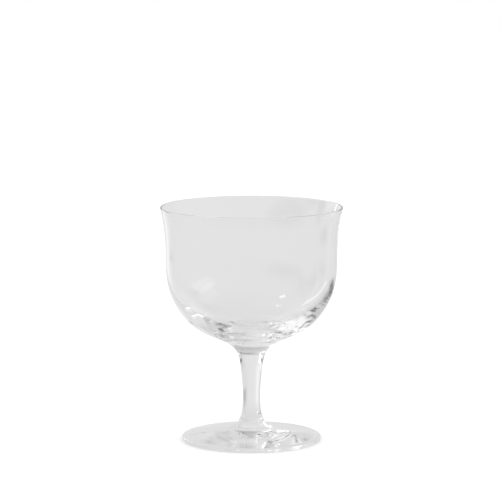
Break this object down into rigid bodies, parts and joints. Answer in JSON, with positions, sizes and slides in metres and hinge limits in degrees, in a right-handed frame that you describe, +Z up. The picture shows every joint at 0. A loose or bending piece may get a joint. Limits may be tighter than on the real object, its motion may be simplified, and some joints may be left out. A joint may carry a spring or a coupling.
{
  "type": "cocktail glass",
  "caption": "Short-stemmed cocktail glass: a wide round-bottomed bowl with a flared lip, fused to a drawn stem and a broad flat foot.",
  "frame": {"origin": "centre of the foot, on the plane that the glass stands on", "axes": "+Z up along the glass's axis; the glass is round about it, so X and Y are free"},
  "size_m": [0.085, 0.085, 0.11],
  "materials": {
    "clear_glass": "clear, colourless, fire polished"
  },
  "bodies": {
    "root": {"bowl": "clear_glass", "stem": "clear_glass", "foot": "clear_glass"}
  },
  "joints": []
}
